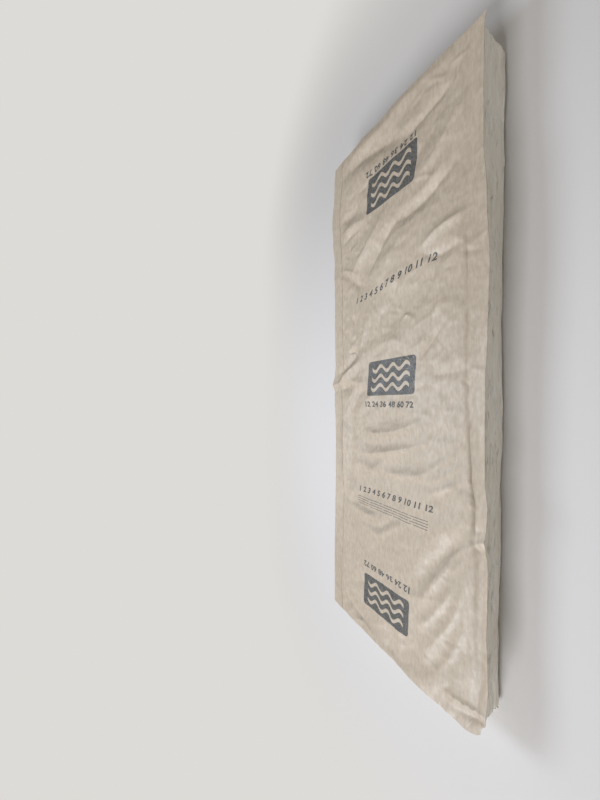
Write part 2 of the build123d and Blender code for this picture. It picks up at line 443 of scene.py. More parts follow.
# %% [markdown]
# ## The sheet of paper
#
# The paper is one sheet. Seen from the end it starts at a free edge, runs out to a fold, turns under
# itself, crosses the whole face, turns back over at the other fold and ends at a second free edge.
# The part that lies on top of itself is the hem, the doubled strip that holds the batt in place.
#
# A grid that follows the sheet across and along is the right mesh for this: each column is a line
# down the sheet, and the columns are placed one after another round the section. The grid is the
# middle of the paper. A skin half a thickness out on each side makes it a solid sheet, and the skin
# that faces the wool is coarser, because nobody sees it.
#
# A fold on the real sheet isn't straight. It was pulled in wherever it was held and bulges
# between, so its distance from the middle is a short list of places along the edge, joined smoothly.

# %% The long edges and the hems
PAPER = 0.4  # the paper with its coat of asphalt, in mm
FOLD_RADIUS = 0.45  # mm, from the middle of the fold to the middle of the paper

# place along the edge, and the fold's distance from the middle of the face
RIGHT_EDGE = [(-591, 196), (-560, 204), (-500, 207), (-400, 203), (-300, 204), (-257, 201), (-200, 205),
              (-150, 200), (0, 200), (100, 203), (200, 205), (300, 201), (400, 194), (570, 194), (591, 197)]
LEFT_EDGE = [(-591, 204), (-450, 203), (-350, 200), (-250, 197), (-100, 197), (-10, 201), (13, 207),
             (36, 201), (66, 197), (200, 199), (350, 201), (400, 207), (450, 211), (550, 199), (591, 195)]
# place along the edge, and how wide the hem lies there
RIGHT_HEM = [(-591, 24), (-530, 16), (-460, 9.5), (-280, 9), (-256, 16), (-246, 15), (-200, 17), (-150, 18),
             (-80, 22), (-30, 28), (0, 29), (100, 31), (200, 33), (300, 33), (400, 27), (591, 27)]
LEFT_HEM = [(-591, 36), (-350, 38), (-240, 38), (-60, 38), (20, 30), (80, 35), (591, 35)]
# place along the edge, and how far the hem's free edge stands up
RIGHT_LIFT = [(-591, 0.1), (-262, 0.1), (-250, 0.2), (-225, 1.6), (-150, 3.2), (-90, 2.0), (-55, 0.7),
              (0, 0.5), (100, 0.6), (190, 0.6), (230, 1.6), (262, 0.3), (400, 0.3), (591, 0.2)]
LEFT_LIFT = [(-591, 0.05), (-260, 0.02), (-180, 0.15), (-100, 0.02), (591, 0.02)]
# place along the edge, and how deep the face dips beside the hem, where the wool falls away
RIGHT_DIP = [(-591, 0.3), (-545, 0.8), (-490, 2.8), (-430, 4.6), (-290, 4.8), (-262, 3.4), (-250, 3.0),
             (-225, 5.4), (-150, 5.6), (-90, 3.6), (-50, 1.3), (100, 1.1), (195, 1.6), (250, 2.0), (275, 0.5),
             (591, 0.3)]
# place along the edge, and how far the hem goes down into that dip
RIGHT_FOLLOW = [(-591, 0.98), (-275, 0.98), (-256, 0.5), (-240, 0.0), (591, 0.0)]
# place along the edge, and how much of the dip is left at the fold
RIGHT_KEEP = [(-591, 0.0), (-545, 0.4), (-480, 0.85), (-290, 0.85), (-258, 0.2), (-240, 0.0), (591, 0.0)]
# place along the edge, and how wide the slope down into the dip is
RIGHT_SLOPE = [(-591, 13), (-300, 13), (-250, 10), (-150, 7), (-80, 5), (591, 5)]


def along_edge(stations, y):
    """A value that is listed at places along an edge, joined by easy curves."""
    places, values = zip(*stations)
    k = np.clip(np.searchsorted(places, y) - 1, 0, len(places) - 2)
    places, values = np.array(places, float), np.array(values, float)
    t = smooth(0, 1, (y - places[k]) / (places[k + 1] - places[k]))
    return values[k] * (1 - t) + values[k + 1] * t


COARSE = 3  # the hidden side of the sheet has one step for each of these on the side that shows
GRID_STEP = 2.9  # mm
rows = COARSE * round(2 * HALF_LENGTH / GRID_STEP / COARSE)
across = COARSE * round(2 * HALF_PAPER / GRID_STEP / COARSE)
length_at = np.linspace(-HALF_LENGTH, HALF_LENGTH, rows + 1)
for name, hem in (("right", RIGHT_HEM), ("left", LEFT_HEM)):
    print(f"the {name} hem is {along_edge(hem, length_at).mean():.0f} mm wide on average")

# %% The height of the sheet
SWAY_AT = 12  # mm out from the wool, where the flange sways up and down by its full amount
RIGHT_SEAT, LEFT_SEAT = 0.06, 0.25  # mm, how much deeper than the paper's thickness a hem is seated
SEAT_FROM, SEAT_TO = -1.2, 1.8  # mm from the hem's free edge, where the step down into the seat is
DIP_END = 11  # mm under the hem, where the dip has risen again


def stretched_height(x, y):
    """The middle of the paper if it were drawn tight beside the hems: crown, wrinkles and flange."""
    overhang = np.maximum(np.abs(x) - HALF_WOOL, 0)
    side = np.sign(x)
    slow = soft_noise(y / 74 + 9 * side, side * 0 + 0.5, 11)
    quick = soft_noise(y / 23, side * 3 + 0.5, 12)
    sway = 1.6 * slow + 0.7 * quick
    return FACE_Z + PAPER / 2 + crown_height(x) + face_relief(x, y) + sway * overhang / SWAY_AT


def free_edge(side, y):
    """How far from the middle a hem's free edge lies."""
    edge, hem = (RIGHT_EDGE, RIGHT_HEM) if side > 0 else (LEFT_EDGE, LEFT_HEM)
    return along_edge(edge, y) - along_edge(hem, y)


def seat(x, y):
    """Under a hem the lower layer is pressed into the wool, so that the hem lies nearly flush."""
    edge = np.where(x > 0, free_edge(1, y), free_edge(-1, y))
    depth = PAPER + np.where(x > 0, RIGHT_SEAT, LEFT_SEAT)
    return -depth * smooth(edge + SEAT_FROM, edge + SEAT_TO, np.abs(x))


def dip(x, y):
    """The groove beside the right hem: it slopes down to the hem's free edge and ends under it."""
    edge = free_edge(1, y)
    into = smooth(edge - along_edge(RIGHT_SLOPE, y) - 1, edge - 1, x)
    rise_again = (1 - along_edge(RIGHT_KEEP, y)) * smooth(edge, edge + DIP_END, x)
    return -along_edge(RIGHT_DIP, y) * into * (1 - rise_again)


def flat_height(x, y):
    """The middle of the paper's lower layer."""
    return stretched_height(x, y) + seat(x, y) + dip(x, y)


deepest = dip(np.linspace(150, 200, 51)[:, None], length_at[None, :]).min()
print(f"beside the right hem the face dips by up to {-deepest:.1f} mm")

# %% Lay out the flat part of the sheet, column by column
RAGGED = 45  # mm in from an end, where its uneven cut begins to tell
CORNER_FROM, CORNER_WIDE, CORNER_DEEP = 165, 34, 26  # mm, the rounded lower right corner


def end_shift(x, y):
    """The ends of the sheet aren't cut quite straight, and the bottom one is a little torn."""
    level = x * 0 + 0.5
    top = 1.3 * soft_noise(x / 41, level, 21) + 0.8 * soft_noise(x / 9, level, 22)
    bottom = 1.6 * soft_noise(x / 37, level, 23) + 1.0 * soft_noise(x / 8, level, 24)
    into_corner = np.clip((x - CORNER_FROM) / CORNER_WIDE, 0, 0.97)
    corner = CORNER_DEEP * (1 - np.sqrt(1 - into_corner**2))
    near_top = smooth(HALF_LENGTH - RAGGED, HALF_LENGTH, y)
    near_bottom = smooth(HALF_LENGTH - RAGGED, HALF_LENGTH, -y)
    return top * near_top + (bottom + corner) * near_bottom


even_edge = HALF_PAPER - FOLD_RADIUS
columns = []
for share in np.linspace(-1, 1, across + 1):
    edge = along_edge(RIGHT_EDGE if share > 0 else LEFT_EDGE, length_at) - FOLD_RADIUS
    pull = smooth(0.5, 1.0, abs(share))
    columns.append(share * (even_edge + (edge - even_edge) * pull))

flat_x = np.stack(columns)
flat_y = np.repeat(length_at[None, :], len(columns), 0)
flat_z = flat_height(flat_x, flat_y)
flat = np.stack([flat_x, flat_y + end_shift(flat_x, flat_y), flat_z], -1)
print(f"the face has {len(columns)} columns, from z {flat_z.min():.1f} to {flat_z.max():.1f} mm")

# %% Fold the long edges over
FOLD_STEPS = 6
HEM_STEPS = 12
HEM_AIR = 0.08  # mm of air between the layers at the hem's free edge, where it doesn't stand up
CURL = 1.7  # a hem that stands up rises late, towards its free edge


def hem_side(side, edge, hem, lift):
    """The fold and the hem of one long edge, as columns that carry on from the flat sheet."""
    out = along_edge(edge, length_at) - FOLD_RADIUS
    width = along_edge(hem, length_at)
    rise = along_edge(lift, length_at)
    outer = flat[-1 if side > 0 else 0]
    made = []
    for turn in np.linspace(0, math.pi, FOLD_STEPS + 1)[1:-1]:
        point = outer.copy()
        point[:, 0] += side * FOLD_RADIUS * math.sin(turn)
        point[:, 2] += FOLD_RADIUS * (1 - math.cos(turn))
        made.append(point)
    follow = along_edge(RIGHT_FOLLOW, length_at)
    for share in np.linspace(0, 1, HEM_STEPS + 1):
        x = side * (out - share * width)
        stack = 2 * FOLD_RADIUS * (1 - share) + (PAPER + HEM_AIR) * share
        z = stretched_height(x, length_at) + seat(x, length_at) + stack
        z += rise * share**CURL + follow * dip(x, length_at)
        made.append(np.stack([x, length_at + end_shift(x, length_at), z], -1))
    return made


right_part = hem_side(1, RIGHT_EDGE, RIGHT_HEM, RIGHT_LIFT)
left_part = hem_side(-1, LEFT_EDGE, LEFT_HEM, LEFT_LIFT)
sheet_grid = np.stack([*reversed(left_part), *flat, *right_part])
print(f"the sheet is a grid of {sheet_grid.shape[0]} columns and {sheet_grid.shape[1]} rows")


# %% The two skins of the paper
def grid_normals(grid):
    """The direction square to a grid of points, at every point."""
    normal = np.cross(np.gradient(grid, axis=0), np.gradient(grid, axis=1))
    return normal / np.linalg.norm(normal, axis=-1, keepdims=True)


def drop_under(fine):
    """How far each coarse point goes down, so that flat coarse faces stay under the fine surface."""
    corners = fine[::COARSE, ::COARSE]
    over = np.zeros((corners.shape[0] - 1, corners.shape[1] - 1))
    for i in range(COARSE + 1):
        for j in range(COARSE + 1):
            s, t = i / COARSE, j / COARSE
            low = corners[:-1, :-1] * (1 - s) + corners[1:, :-1] * s
            high = corners[:-1, 1:] * (1 - s) + corners[1:, 1:] * s
            here = fine[i:i + COARSE * len(over):COARSE, j:j + COARSE * over.shape[1]:COARSE]
            over = np.maximum(over, low * (1 - t) + high * t - here)
    around = np.pad(over, 1)
    return np.max([around[:-1, :-1], around[1:, :-1], around[:-1, 1:], around[1:, 1:]], axis=0)


wide, long = sheet_grid.shape[:2]
# the hidden skin is coarse only between these two columns, clear of the folds
first_flat = len(left_part) + 2 * COARSE
last_flat = wide - 1 - len(right_part) - 2 * COARSE
half_sheet = grid_normals(sheet_grid) * PAPER / 2
outer_side, inner_side = sheet_grid + half_sheet, sheet_grid - half_sheet
drop = drop_under(sheet_grid[first_flat:last_flat + 1, :, 2])
inner_side[first_flat + COARSE:last_flat:COARSE, COARSE:-1:COARSE, 2] -= drop[1:-1, 1:-1]
print(f"the hidden skin goes down by up to {drop.max():.1f} mm, {drop.mean():.2f} mm on average")

# %% Join the points of both skins into faces
top = np.arange(wide * long).reshape(wide, long)
under = top + wide * long
faces = []


def strip(a, b, c, d):
    """Four-cornered faces from four equal grids of point numbers."""
    faces.extend(np.stack([a, b, c, d], -1).reshape(-1, 4).tolist())


strip(top[:-1, :-1], top[1:, :-1], top[1:, 1:], top[:-1, 1:])
for part in (slice(0, first_flat + 1), slice(last_flat, wide)):
    u = under[part]
    strip(u[:-1, :-1], u[:-1, 1:], u[1:, 1:], u[1:, :-1])
    for j, way in ((0, 1), (long - 1, -1)):
        t, b = top[part, j][::way], under[part, j][::way]
        strip(b[:-1], b[1:], t[1:], t[:-1])
for edge, way in ((0, -1), (wide - 1, 1)):
    t, b = top[edge][::way], under[edge][::way]
    strip(b[:-1], b[1:], t[1:], t[:-1])

wide_steps = range(first_flat, last_flat, COARSE)
for i in wide_steps:
    next_i = i + COARSE
    for j in range(0, long - 1, COARSE):
        corners, every = [j, j + COARSE], slice(j, j + COARSE + 1)
        left_side = under[i, every if i == first_flat else corners]
        right_side = under[next_i, every if i == wide_steps[-1] else corners]
        faces.append([*left_side.tolist(), *right_side[::-1].tolist()])
    faces.append([int(under[i, 0]), int(under[next_i, 0]), *top[i:next_i + 1, 0][::-1].tolist()])
    faces.append([int(under[next_i, -1]), int(under[i, -1]), *top[i:next_i + 1, -1].tolist()])
print(f"{len(faces)} faces close the sheet all round")

# %% Build the paper's mesh from the points that a face uses
sheet_mesh = bpy.data.meshes.new("kraft_paper_facing")
points = np.concatenate([outer_side.reshape(-1, 3), inner_side.reshape(-1, 3)]) * MM
used = np.unique(np.concatenate([np.array(f) for f in faces]))
renumbered = np.full(len(points), -1)
renumbered[used] = np.arange(len(used))
sheet_mesh.from_pydata(points[used].tolist(), [], [renumbered[f].tolist() for f in faces])
sheet_mesh.shade_smooth()
sheet_mesh.set_sharp_from_angle(angle=math.radians(40))
facing = bpy.data.objects.new("kraft_paper_facing", sheet_mesh)
bpy.context.scene.collection.objects.link(facing)
triangles = sum(len(p.vertices) - 2 for p in sheet_mesh.polygons)
open_edges = len(sheet_mesh.edges) - sum(len(p.vertices) for p in sheet_mesh.polygons) / 2
print(f"paper: {triangles} triangles, {open_edges:.0f} open edges")

# %% [markdown]
# ## The batt of glass wool
#
# Glass wool is spun fibre that falls on a moving belt and is pressed and cured into a mat. The fibres
# lie flat in the mat, so a cut edge shows fine layers, like felt or puff pastry, and the broad back
# shows a matted tangle. The blade that trims the sides drags the layers a little, the mat splits
# between some of them, its corners crumble, and handling pulls out tufts.
#
# The mesh is the section of the slab drawn once round and repeated down the length, with rings of
# points that close each end. Every point is then pushed in or out by noise that is drawn out along
# the layers. A cushion would be blown up by a cloth simulation here. A cut mat has no skin to hold
# such a pressure, so moving its points one by one is the truer way.

# %% The section of the wool, once round
SIDE_STEP = 2.2  # mm between points on the sides, fine enough to show the layers
BACK_STEP = 5.0
FACE_STEP = 6.0
HEEL = 12.0  # mm, the soft corner along the back
HEEL_STEPS = 8
SIDE_DRAW = 4.0  # mm, how far each side draws in from the face to the back


def section_loop():
    """Points round the wool's section, clockwise from its top left corner, with what each belongs to."""
    points = [(x, FACE_Z, "face") for x in np.arange(-HALF_WOOL, HALF_WOOL - 1, FACE_STEP)]
    down = round((FACE_Z - HEEL) / SIDE_STEP)
    for k in range(down):
        drop = k / down * (FACE_Z - HEEL)
        points.append((HALF_WOOL - SIDE_DRAW * (drop / FACE_Z) ** 2, FACE_Z - drop, "side"))
    corner_x = HALF_WOOL - SIDE_DRAW - HEEL
    for turn in np.linspace(0, math.pi / 2, HEEL_STEPS)[:-1]:
        points.append((corner_x + HEEL * math.cos(turn), HEEL - HEEL * math.sin(turn), "side"))
    back = round(2 * corner_x / BACK_STEP)
    half = [p for p in points if p[2] == "side"]
    points += [(x, 0.0, "back") for x in np.linspace(corner_x, -corner_x, back + 1)]
    points += [(-x, z, "side") for x, z, _ in reversed(half)]
    return points


loop = section_loop()
loop_x = np.array([p[0] for p in loop])
loop_z = np.array([p[1] for p in loop])
is_side, is_back, is_face = (np.array([p[2] == part for p in loop])[:, None]
                             for part in ("side", "back", "face"))
print(f"the section has {len(loop)} points round it")

# %% Repeat the section down the length
ROW_STEP = 4.6
CORNER = 16.0  # mm, how far the upright corners are rounded, where a side meets an end
crowded = HALF_LENGTH - np.array([0, 0.6, 1.8, 3.8, 6.8, 11.0])  # rows close together round a corner
straight = np.linspace(-HALF_LENGTH + CORNER, HALF_LENGTH - CORNER, round(2 * HALF_LENGTH / ROW_STEP))
wool_y = np.concatenate([-crowded, straight, crowded[::-1]])
X = np.repeat(loop_x[:, None], len(wool_y), 1)
Z = np.repeat(loop_z[:, None], len(wool_y), 1)
Y = np.repeat(wool_y[None, :], len(loop), 0)
print(f"it is repeated in {len(wool_y)} rows")

# %% Push the wool's surface in and out
WOOL_SINK = 1.5  # mm, how far under the paper the wool stays, so that no coarse corner pokes through
TUCK = 9  # mm below the face, over which a side goes back to its plain line under the flange


def layers(run, depth, seed):
    """The relief of a cut edge: thin layers that run along it, uneven in depth, split and pulled.

    Run goes along the layers and depth through them. Each divisor is the size of a lump in mm.
    """
    level = depth + 2.6 * soft_noise(run / 90, depth / 60, seed)
    fine = soft_noise(run / 34, level / 3.6, seed + 1)
    medium = soft_noise(run / 60, level / 9, seed + 2)
    pulled = soft_noise(run / 12, depth / 8, seed + 3)
    broad = soft_noise(run / 130, depth / 45, seed + 4)
    split = np.exp(-((soft_noise(run / 110, level / 13, seed + 5) / 0.22) ** 2))
    return 0.8 * fine + 1.1 * medium + 0.8 * pulled * np.abs(medium) + 1.4 * broad - 1.5 * split


short = np.clip(1 - (HALF_LENGTH - np.abs(Y)) / CORNER, 0, 1)
rounding = 1 - np.sqrt(1 - short**2)
X *= 1 - rounding * CORNER / HALF_WOOL
outward = np.sign(X)
tuck = smooth(FACE_Z, FACE_Z - TUCK, Z)
X = np.where(is_side, X + outward * (layers(Y + 700 * outward, Z, 51) - 0.5) * tuck, X)
pressed = np.min([dip(X + reach, Y) for reach in range(-9, 10, 3)], axis=0)
face = FACE_Z + crown_height(X) + face_relief(X, Y) + pressed - WOOL_SINK
matted = 1.5 * np.abs(soft_noise(X / 23, Y / 27, 61)) + 0.9 * np.abs(soft_noise(X / 9, Y / 10, 62))
matted += 0.8 * (1 + soft_noise(X / 75, Y / 85, 63)) + 4.0 * rounding
topmost = Z + (face - FACE_Z) * smooth(FACE_Z - 30, FACE_Z, Z)
topmost += matted * (1 - smooth(0, HEEL, Z))
Z = np.where(is_face, face, np.where(is_back, matted, topmost))
Z = np.maximum(Z, 0.0)
skin = np.stack([X, Y, Z], -1)
print(f"the wool's skin has {Z.size} points, and its face stays {WOOL_SINK} mm under the paper")

# %% Close the ends
END_RINGS = 24
SPINE = HALF_WOOL - 42  # mm, where the line that the rings of an end shrink to stops


def end_patch(ring, way):
    """Rings of points from an end's outline in to its spine, pushed along Y like a cut edge."""
    spine_x = np.clip(ring[:, 0] * 1.02, -SPINE, SPINE)
    rings = []
    for t in np.arange(1, END_RINGS) / END_RINGS:
        x = ring[:, 0] * (1 - t) + spine_x * t
        z = ring[:, 2] * (1 - t) + FACE_Z / 2 * t
        cut = (layers(x + 900 * way, z, 71) - 0.8) * smooth(0, 0.2, t)
        rings.append(np.stack([x, way * (HALF_LENGTH + cut), z], -1))
    return rings


around = np.arange(len(loop))
beside = np.roll(around, -1)
wool_points = [skin.transpose(1, 0, 2).reshape(-1, 3)]
wool_faces = []
for row in range(len(wool_y) - 1):
    near, far = row * len(loop), (row + 1) * len(loop)
    wool_faces.append(np.stack([near + around, near + beside, far + beside, far + around], -1))
count = skin[..., 0].size
for way, row in ((-1, 0), (1, len(wool_y) - 1)):
    outer = row * len(loop)
    for ring in end_patch(skin[:, row], way):
        wool_points.append(ring)
        quads = np.stack([outer + around, outer + beside, count + beside, count + around], -1)
        wool_faces.append(quads if way > 0 else quads[:, ::-1])
        outer, count = count, count + len(loop)
print(f"each end has {END_RINGS - 1} rings")

# %% Build the wool's mesh
wool_mesh = bpy.data.meshes.new("glass_wool")
wool_points = np.concatenate(wool_points) * MM
wool_mesh.from_pydata(wool_points.tolist(), [], np.concatenate(wool_faces).tolist())
wool_bm = bmesh.new()
wool_bm.from_mesh(wool_mesh)
for way in (-1, 1):  # the innermost ring of each end is nearly a line, and is sewn shut
    rim = [v for v in wool_bm.verts if v.is_boundary and v.co.y * way > 0]
    bmesh.ops.remove_doubles(wool_bm, verts=rim, dist=0.5 * MM)
    slit = [e for e in wool_bm.edges if e.is_boundary and e.verts[0].co.y * way > 0]
    bmesh.ops.triangle_fill(wool_bm, edges=slit, normal=(0, way, 0))
bmesh.ops.recalc_face_normals(wool_bm, faces=wool_bm.faces)
wool_bm.to_mesh(wool_mesh)
wool_open = sum(not e.is_manifold for e in wool_bm.edges)
wool_bm.free()
wool_mesh.shade_smooth()
wool = bpy.data.objects.new("glass_wool", wool_mesh)
bpy.context.scene.collection.objects.link(wool)
print(f"wool: {len(wool_mesh.polygons)} faces, {wool_open} open edges")

# %% [markdown]
# ## What glass wool is made of
#
# Each fibre is a clear glass thread a few thousandths of a millimetre thick. Like snow, a mat of them
# looks white, because light is turned round between countless clear surfaces. It comes out again a
# few millimetres from where it went in, so the hollows between the layers glow instead of going
# black. The colour turns cream where the layers and swirls of the bump are low, which is painted
# shade in those hollows, and also in broad random blotches of tone. The loose threads on the outside
# catch light at grazing angles, which gives the soft rim that a fleece has too.

# %% The glass wool's material
LAYER = 2.6  # mm, the thickness of the layers that show on a cut edge
LAYER_RUN = 14.0  # how much longer than thick a layer is before it fades into the next
TANGLE = 8.0  # mm, a swirl of fibres; a fibre alone is a thousand times finer and can't show

fleece, tree = new_material("spun_glass_wool")
beds = add(tree, "ShaderNodeTexNoise", Vector=scaled(tree, LAYER, LAYER_RUN, LAYER_RUN), Scale=1.0,
           Detail=4.0, Roughness=0.62, Distortion=0.3)
swirls = add(tree, "ShaderNodeTexNoise", {"noise_type": "RIDGED_MULTIFRACTAL"},
             Vector=scaled(tree, TANGLE), Scale=1.0, Detail=5.0, Roughness=0.6, Distortion=1.4)
blotches = add(tree, "ShaderNodeTexNoise", Vector=scaled(tree, 60), Scale=1.0, Detail=2.0)
depth = add(tree, "ShaderNodeMath", {"operation": "MULTIPLY_ADD"}, i0=swirls.outputs[0], i1=0.22,
            i2=beds.outputs[0])
shade = add(tree, "ShaderNodeMath", {"operation": "MULTIPLY_ADD"}, i0=blotches.outputs[0], i1=0.35,
            i2=depth.outputs[0])
# this ramp paints shade: cream where the bump is low, in the hollows between layers and swirls, and cream too
# in broad random blotches of tone
tone_and_hollow_shade = add(tree, "ShaderNodeValToRGB", Fac=shade.outputs[0])
tone_and_hollow_shade.color_ramp.elements[0].position = 0.55
tone_and_hollow_shade.color_ramp.elements[0].color = linear("DDD6C6")
tone_and_hollow_shade.color_ramp.elements[1].position = 0.95
tone_and_hollow_shade.color_ramp.elements[1].color = linear("EAE7DE")
nap = add(tree, "ShaderNodeBump", Height=depth.outputs[0], Strength=0.8, Distance=1.6 * MM)
shader = add(tree, "ShaderNodeBsdfPrincipled", Base_Color=tone_and_hollow_shade.outputs[0], Roughness=0.95, IOR=1.45,
             Normal=nap.outputs[0], Subsurface_Weight=0.25, Subsurface_Radius=(1.0, 0.9, 0.75),
             Subsurface_Scale=4 * MM, Sheen_Weight=0.25, Sheen_Roughness=0.5)
add(tree, "ShaderNodeOutputMaterial", Surface=shader.outputs[0])
wool_mesh.materials.append(fleece)
print(f"{fleece.name}: layers of {LAYER} mm that fade over {LAYER * LAYER_RUN:.0f} mm")

# %% [markdown]
# ## Tufts
#
# Where a blade or a hand has dragged the cut edges, wads of fibre are left half pulled out of their
# layer. One wad is a flattened, tapering drop, a little bent, so it has only a few dozen faces.
# Geometry Nodes then strews copies of it over the sides and the ends, each turned to lie along the
# layers. A number on every point of the wool's mesh says how loose the wool is there, and the tree
# reads it, so the tufts come in clusters and none grows under the paper or into the floor.

# %% One tuft
TUFT_SIZE = (9.5, 2.9, 1.5)  # mm from the middle: along the layer, across it, and out of the surface
tuft_bm = bmesh.new()
bmesh.ops.create_uvsphere(tuft_bm, u_segments=8, v_segments=6, radius=1.0,
                          matrix=Matrix.Rotation(math.pi / 2, 4, "Y"))
rng = np.random.default_rng(77)
for v in tuft_bm.verts:
    along, sideways, out = v.co
    slim = (1 - 0.55 * abs(along)) * rng.uniform(0.8, 1.2)  # it tapers to both ends, unevenly
    v.co = Vector((TUFT_SIZE[0] * along, TUFT_SIZE[1] * sideways * slim + 1.6 * along**2,
                   TUFT_SIZE[2] * (out * slim - 0.45) + 0.4 * along)) * MM
bmesh.ops.recalc_face_normals(tuft_bm, faces=tuft_bm.faces)
tuft_mesh = bpy.data.meshes.new("tuft")
tuft_bm.to_mesh(tuft_mesh)
tuft_bm.free()
tuft_mesh.shade_smooth()
tuft = bpy.data.objects.new("tuft", tuft_mesh)
print(f"a tuft has {len(tuft_mesh.polygons)} faces")

# %% How loose the wool is at each point
END_RUN, SIDE_RUN = 900, 300  # mm that set the noise of the ends and of the two sides apart
place = np.array([v.co for v in wool_mesh.vertices]) / MM
at_end = smooth(HALF_LENGTH - 6, HALF_LENGTH - 2, np.abs(place[:, 1]))
at_side = smooth(HALF_WOOL - 12, HALF_WOOL - 8, np.abs(place[:, 0]))
run = np.where(at_end > 0.5, place[:, 0] + END_RUN, place[:, 1] + SIDE_RUN * np.sign(place[:, 0]))
clusters = smooth(-0.35, 0.6, soft_noise(run / 26, place[:, 2] / 13, 91))
clear = smooth(9, 16, place[:, 2]) * (1 - smooth(FACE_Z - 16, FACE_Z - 10, place[:, 2]))
looseness = np.maximum(at_end, at_side) * clear * (0.12 + 0.88 * clusters)
wool_mesh.attributes.new("looseness", "FLOAT", "POINT").data.foreach_set("value", looseness)
print(f"{np.mean(looseness > 0.5):.0%} of the wool's points are loose")

# %% A tree of Geometry Nodes that strews the tufts
strew = bpy.data.node_groups.new("strewn_tufts", "GeometryNodeTree")
for name, kind in (("Wool", "Geometry"), ("Tuft", "Object"), ("Tufts per square metre", "Float"),
                   ("Seed", "Int"), ("Fibre", "Material")):
    strew.interface.new_socket(name, in_out="INPUT", socket_type=f"NodeSocket{kind}")
strew.interface.new_socket("Wool", in_out="OUTPUT", socket_type="NodeSocketGeometry")
given = add(strew, "NodeGroupInput").outputs
loose_here = add(strew, "GeometryNodeInputNamedAttribute", {"data_type": "FLOAT"}, Name="looseness")
density = add(strew, "ShaderNodeMath", {"operation": "MULTIPLY"}, i0=loose_here.outputs[0],
              i1=given["Tufts per square metre"])
spots = add(strew, "GeometryNodeDistributePointsOnFaces", Mesh=given["Wool"], Density=density.outputs[0],
            Seed=given["Seed"])
along_layer = add(strew, "ShaderNodeVectorMath", {"operation": "CROSS_PRODUCT"}, i0=(0, 0, 1),
                  i1=spots.outputs["Normal"])
facing_out = add(strew, "FunctionNodeAxesToRotation", {"primary_axis": "Z", "secondary_axis": "X"},
                 Primary_Axis=spots.outputs["Normal"], Secondary_Axis=along_layer.outputs[0])
spin = add(strew, "FunctionNodeRandomValue", {"data_type": "FLOAT_VECTOR"}, i0=(0, 0, -0.35),
           i1=(0, 0, 0.35), Seed=given["Seed"])
turned = add(strew, "FunctionNodeRotateRotation", {"rotation_space": "LOCAL"},
             Rotation=facing_out.outputs[0], Rotate_By=spin.outputs[0])
size = add(strew, "FunctionNodeRandomValue", {"data_type": "FLOAT"}, i2=0.6, i3=1.25, Seed=given["Seed"])
copy_of = add(strew, "GeometryNodeObjectInfo", Object=given["Tuft"])
strewn = add(strew, "GeometryNodeInstanceOnPoints", Points=spots.outputs["Points"],
             Instance=copy_of.outputs["Geometry"], Rotation=turned.outputs[0], Scale=size.outputs[1])
real = add(strew, "GeometryNodeRealizeInstances", Geometry=strewn.outputs[0])
dressed = add(strew, "GeometryNodeSetMaterial", Geometry=real.outputs[0], Material=given["Fibre"])
both = add(strew, "GeometryNodeJoinGeometry", Geometry=dressed.outputs[0])
strew.links.new(given["Wool"], both.inputs[0])
add(strew, "NodeGroupOutput", Wool=both.outputs[0])
print(f"the tree has {len(strew.nodes)} nodes")

# %% Strew the tufts, and keep the result as a plain mesh
TUFTS_PER_SQUARE_METRE = 6000.0
TUFT_SEED = 5
modifier = wool.modifiers.new("tufts", "NODES")
modifier.node_group = strew
sockets = {s.name: s.identifier for s in strew.interface.items_tree if s.in_out == "INPUT"}
for name, value in (("Tuft", tuft), ("Tufts per square metre", TUFTS_PER_SQUARE_METRE),
                    ("Seed", TUFT_SEED), ("Fibre", fleece)):
    modifier[sockets[name]] = value
bpy.context.view_layer.update()
ready = wool.evaluated_get(bpy.context.evaluated_depsgraph_get())
with_tufts = bpy.data.meshes.new_from_object(ready)
tufts_made = (len(with_tufts.polygons) - len(wool_mesh.polygons)) // len(tuft_mesh.polygons)
wool.modifiers.clear()
wool.data = with_tufts
for v in with_tufts.vertices:  # a tuft near the heel must not reach into the floor
    v.co.z = max(v.co.z, 0.0)
with_tufts.attributes.remove(with_tufts.attributes["looseness"])
bpy.data.objects.remove(tuft)
print(f"{tufts_made} tufts, {sum(len(p.vertices) - 2 for p in with_tufts.polygons)} triangles in all")

# %% [markdown]
# ## What is printed on the face
#
# A facing like this comes off the roll with dark grey print repeated down its length: solid blocks,
# rows of bold characters, and a few fine lines. Here each block holds three wavy bands, and the
# rows are plain numbers, like a rule to cut by.
#
# The ink is a film on the paper, so each print is a thin closed skin that has to follow every crease.
# It is drawn flat first. Then it is cut along the lines of the sheet's own grid, so that no piece of
# ink spans a bend, and lifted onto the sheet.

# %% Flat shapes and flat rows of numbers
DIGIT_SHARE = 0.729  # the built-in font's digits are this share of its size


def flat_curve(name, outlines):
    """A filled flat shape in millimetres from closed outlines, where an inner one makes a hole."""
    curve = bpy.data.curves.new(name, "CURVE")
    curve.dimensions = "2D"
    curve.fill_mode = "BOTH"
    for outline in outlines:
        spline = curve.splines.new("POLY")
        spline.points.add(len(outline) - 1)
        for point, (x, y) in zip(spline.points, outline):
            point.co = (x, y, 0, 1)
        spline.use_cyclic_u = True
    return bpy.data.objects.new(name, curve)


def flat_text(name, words, height, weight, slant):
    """A row of numbers in millimetres, centred, with digits of the given height."""
    curve = bpy.data.curves.new(name, "FONT")
    curve.body = words
    curve.size = height / DIGIT_SHARE
    curve.offset = weight
    curve.shear = slant
    curve.align_x = "CENTER"
    curve.space_character = 1.08
    curve.resolution_u = 4
    return bpy.data.objects.new(name, curve)


print(f"digits fill {DIGIT_SHARE:.0%} of their font's size")

# %% Make a flat print a mesh
MERGE = 0.01  # mm


